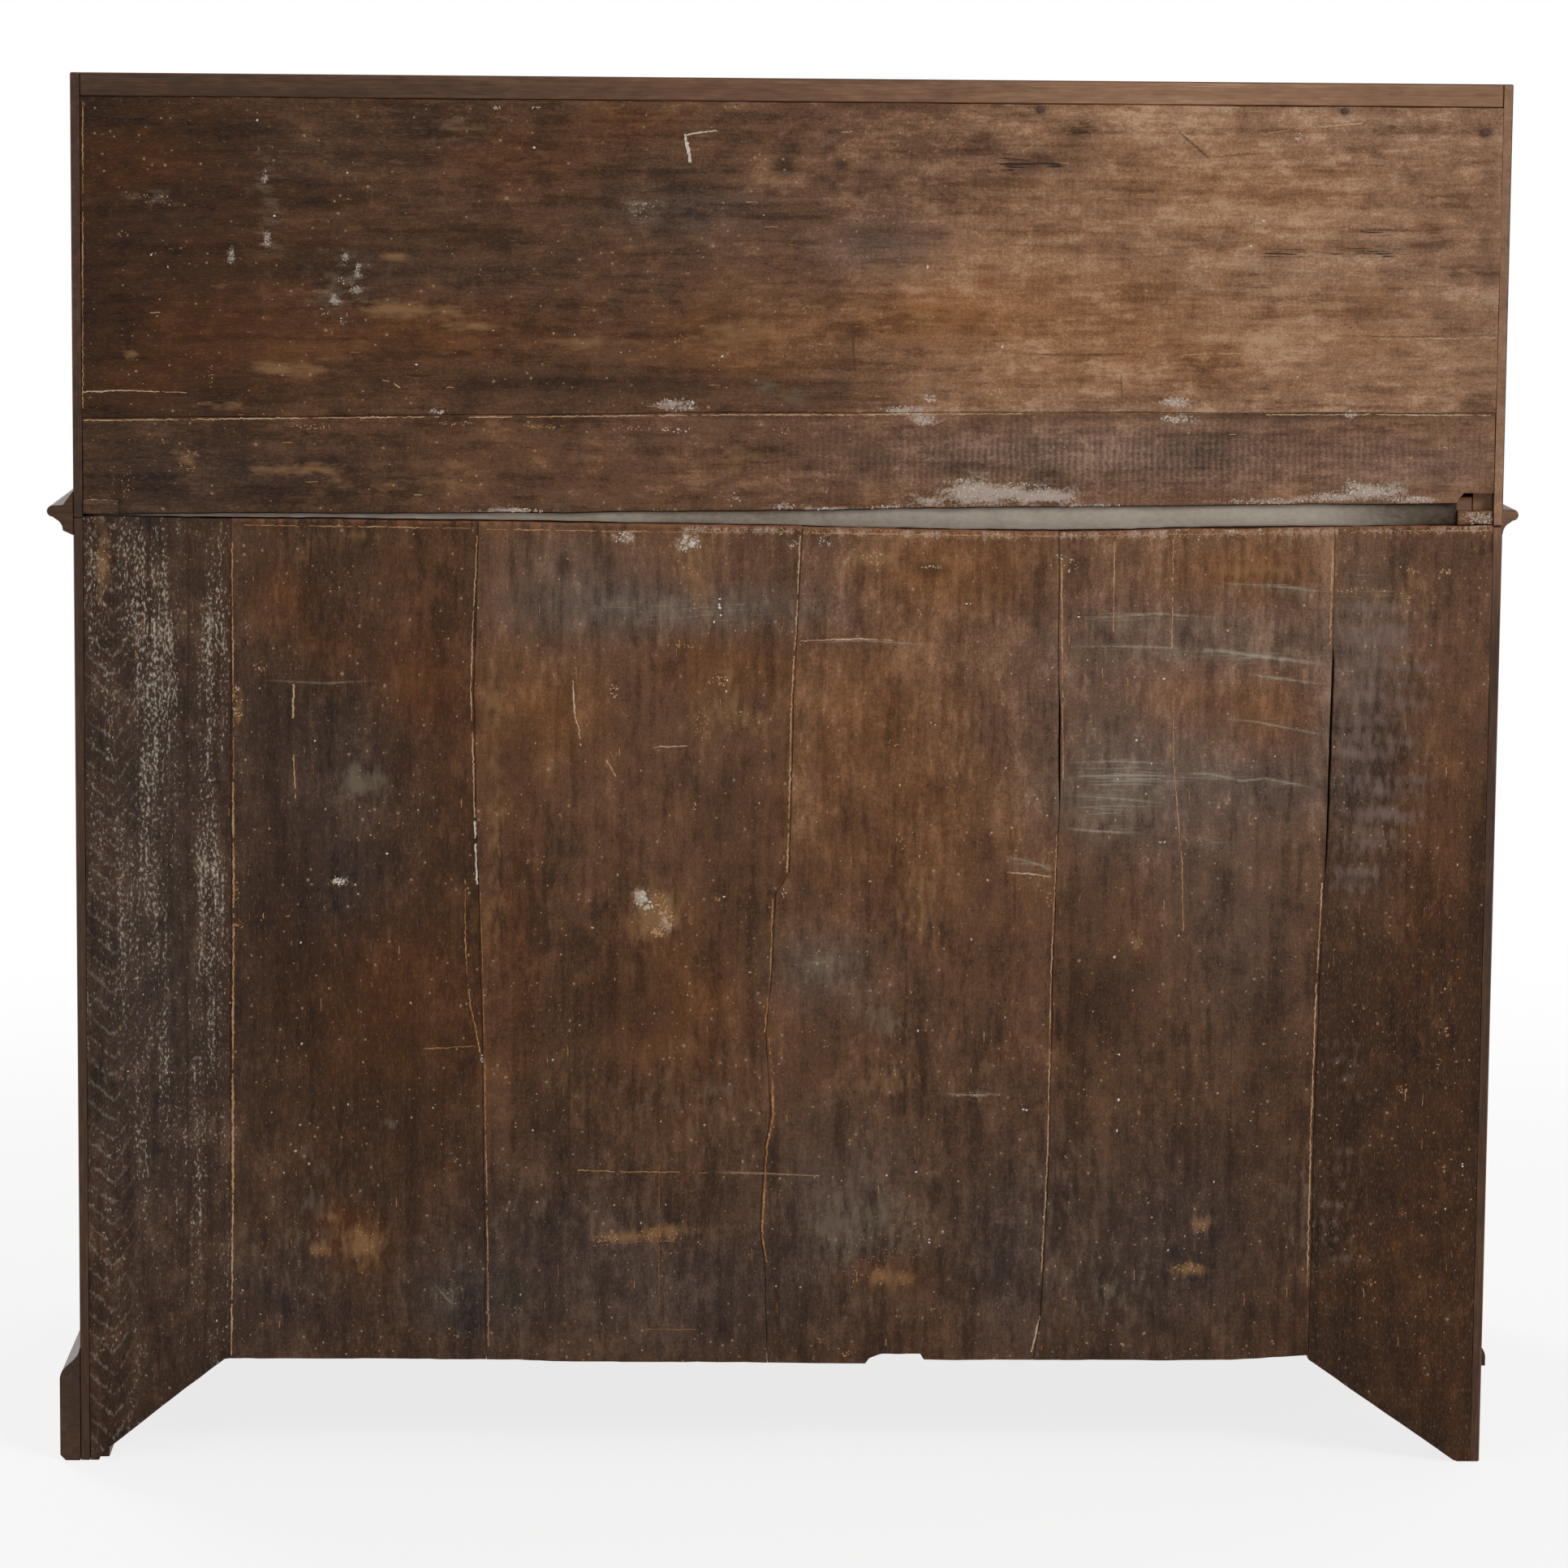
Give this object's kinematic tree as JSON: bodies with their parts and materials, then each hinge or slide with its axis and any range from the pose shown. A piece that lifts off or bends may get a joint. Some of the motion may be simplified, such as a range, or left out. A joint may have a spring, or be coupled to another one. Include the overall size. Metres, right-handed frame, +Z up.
{
  "type": "fall-front desk",
  "caption": "Old wooden slope-front bureau: a hinged fall on sliding lopers over a fitted desk with a well, on a moulded chest of long drawers with brass bail handles.",
  "frame": {"origin": "centre of the bounding box, on the floor", "axes": "+X to the right seen from the front, +Y to the back, +Z up"},
  "size_m": [1.0574, 0.5268, 1],
  "materials": {
    "oak": "waxed, worn",
    "back_wood": "rough sawn, dusty",
    "lining": "bare, dry",
    "brass": "aged"
  },
  "bodies": {
    "carcase": {"upper_side_left": "oak", "upper_side_right": "oak", "top_board": "oak", "upper_backboard": "back_wood", "waist_backboard": "back_wood", "desk_bottom_board": "oak", "frieze_rail": "oak", "well_side_left": "lining", "well_side_right": "lining", "writing_bed": "oak", "waist_moulding": "oak", "chest_side_left": "oak", "chest_side_right": "oak", "chest_top_board": "oak", "upper_dustboard": "oak", "lower_dustboard": "oak", "chest_bottom_board": "oak", "back_stile_left": "back_wood", "back_stile_right": "back_wood", "backboard_1": "back_wood", "backboard_2": "back_wood", "backboard_3": "back_wood", "backboard_4": "back_wood", "base_front": "oak", "base_left": "oak", "base_right": "oak", "nest_floor": "lining", "nest_shelf": "lining", "nest_divider_left": "lining", "nest_divider_right": "lining", "pigeonhole_arcade": "lining", "bed_hinge_left": "brass", "bed_hinge_right": "brass"},
    "fall": {"fall_panel": "oak", "fall_hinge_left": "brass", "fall_hinge_right": "brass"},
    "loper_left": {"loper_left": "oak"},
    "loper_right": {"loper_right": "oak"},
    "well_slide": {"well_slide": "oak"},
    "small_drawer_left": {"small_drawer_left": "lining"},
    "small_drawer_middle": {"small_drawer_middle": "lining"},
    "small_drawer_right": {"small_drawer_right": "lining"},
    "drawer_top": {"drawer_top_front": "oak", "drawer_top_box": "lining", "handle_plate_top_left": "brass", "handle_plate_top_right": "brass"},
    "bail_top_left": {"bail_top_left": "brass"},
    "bail_top_right": {"bail_top_right": "brass"},
    "drawer_middle": {"drawer_middle_front": "oak", "drawer_middle_box": "lining", "handle_plate_middle_left": "brass", "handle_plate_middle_right": "brass"},
    "bail_middle_left": {"bail_middle_left": "brass"},
    "bail_middle_right": {"bail_middle_right": "brass"},
    "drawer_bottom": {"drawer_bottom_front": "oak", "drawer_bottom_box": "lining", "handle_plate_bottom_left": "brass", "handle_plate_bottom_right": "brass"},
    "bail_bottom_left": {"bail_bottom_left": "brass"},
    "bail_bottom_right": {"bail_bottom_right": "brass"}
  },
  "joints": [
    {"name": "fall_hinge", "type": "hinge", "parent": "carcase", "child": "fall", "pos_m": [0, -0.23735, 0.7764], "axis": [1, 0, 0], "range_deg": [0, 137]},
    {"name": "loper_left_slide", "type": "slide", "parent": "carcase", "child": "loper_left", "axis": [0, -1, 0], "range_m": [0, 0.25]},
    {"name": "loper_right_slide", "type": "slide", "parent": "carcase", "child": "loper_right", "axis": [0, -1, 0], "range_m": [0, 0.25]},
    {"name": "well_slide_run", "type": "slide", "parent": "carcase", "child": "well_slide", "axis": [0, 1, 0], "range_m": [0, 0.16]},
    {"name": "small_drawer_left_slide", "type": "slide", "parent": "carcase", "child": "small_drawer_left", "axis": [0, -1, 0], "range_m": [0, 0.14]},
    {"name": "small_drawer_middle_slide", "type": "slide", "parent": "carcase", "child": "small_drawer_middle", "axis": [0, -1, 0], "range_m": [0, 0.14]},
    {"name": "small_drawer_right_slide", "type": "slide", "parent": "carcase", "child": "small_drawer_right", "axis": [0, -1, 0], "range_m": [0, 0.14]},
    {"name": "drawer_top_slide", "type": "slide", "parent": "carcase", "child": "drawer_top", "axis": [0, -1, 0], "range_m": [0, 0.36]},
    {"name": "bail_top_left_swing", "type": "hinge", "parent": "drawer_top", "child": "bail_top_left", "pos_m": [-0.3, -0.25795, 0.5931], "axis": [-1, 0, 0], "range_deg": [0, 85]},
    {"name": "bail_top_right_swing", "type": "hinge", "parent": "drawer_top", "child": "bail_top_right", "pos_m": [0.3, -0.25795, 0.5931], "axis": [-1, 0, 0], "range_deg": [0, 85]},
    {"name": "drawer_middle_slide", "type": "slide", "parent": "carcase", "child": "drawer_middle", "axis": [0, -1, 0], "range_m": [0, 0.36]},
    {"name": "bail_middle_left_swing", "type": "hinge", "parent": "drawer_middle", "child": "bail_middle_left", "pos_m": [-0.3, -0.25795, 0.4091], "axis": [-1, 0, 0], "range_deg": [0, 85]},
    {"name": "bail_middle_right_swing", "type": "hinge", "parent": "drawer_middle", "child": "bail_middle_right", "pos_m": [0.3, -0.25795, 0.4091], "axis": [-1, 0, 0], "range_deg": [0, 85]},
    {"name": "drawer_bottom_slide", "type": "slide", "parent": "carcase", "child": "drawer_bottom", "axis": [0, -1, 0], "range_m": [0, 0.36]},
    {"name": "bail_bottom_left_swing", "type": "hinge", "parent": "drawer_bottom", "child": "bail_bottom_left", "pos_m": [-0.3, -0.25795, 0.2056], "axis": [-1, 0, 0], "range_deg": [0, 85]},
    {"name": "bail_bottom_right_swing", "type": "hinge", "parent": "drawer_bottom", "child": "bail_bottom_right", "pos_m": [0.3, -0.25795, 0.2056], "axis": [-1, 0, 0], "range_deg": [0, 85]}
  ]
}
